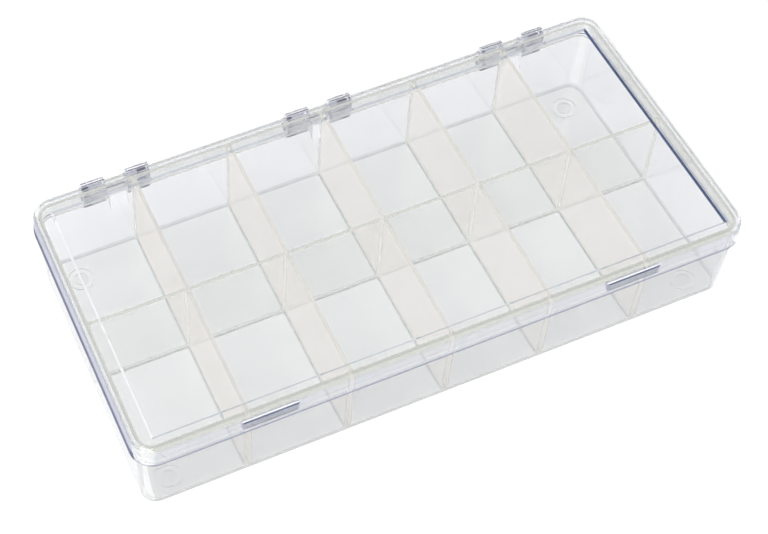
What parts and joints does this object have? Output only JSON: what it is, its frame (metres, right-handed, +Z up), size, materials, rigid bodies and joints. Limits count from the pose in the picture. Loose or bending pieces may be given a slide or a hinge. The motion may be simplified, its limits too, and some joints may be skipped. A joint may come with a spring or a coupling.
{
  "type": "parts sorting tray",
  "caption": "Clear hinged tray for small parts: a shallow box moulded in one with a grid of thin dividers, and a flat lid on snap hinges with finger tabs at the front.",
  "frame": {"origin": "on the table, under the middle of the whole outline, hinges included", "axes": "+X along the long side to the right, +Y to the hinge side at the back, +Z up"},
  "size_m": [0.175, 0.0881, 0.0311],
  "materials": {
    "tray_clear": "clear moulded polystyrene, polished",
    "lid_clear": "clear moulded polystyrene, polished"
  },
  "bodies": {
    "tray": {"base_tray": "tray_clear"},
    "lid": {"lid": "lid_clear"}
  },
  "joints": [
    {"name": "lid_hinge", "type": "hinge", "parent": "tray", "child": "lid", "pos_m": [0, 0.04165, 0.0226], "axis": [-1, 0, 0], "range_deg": [0, 180]}
  ]
}
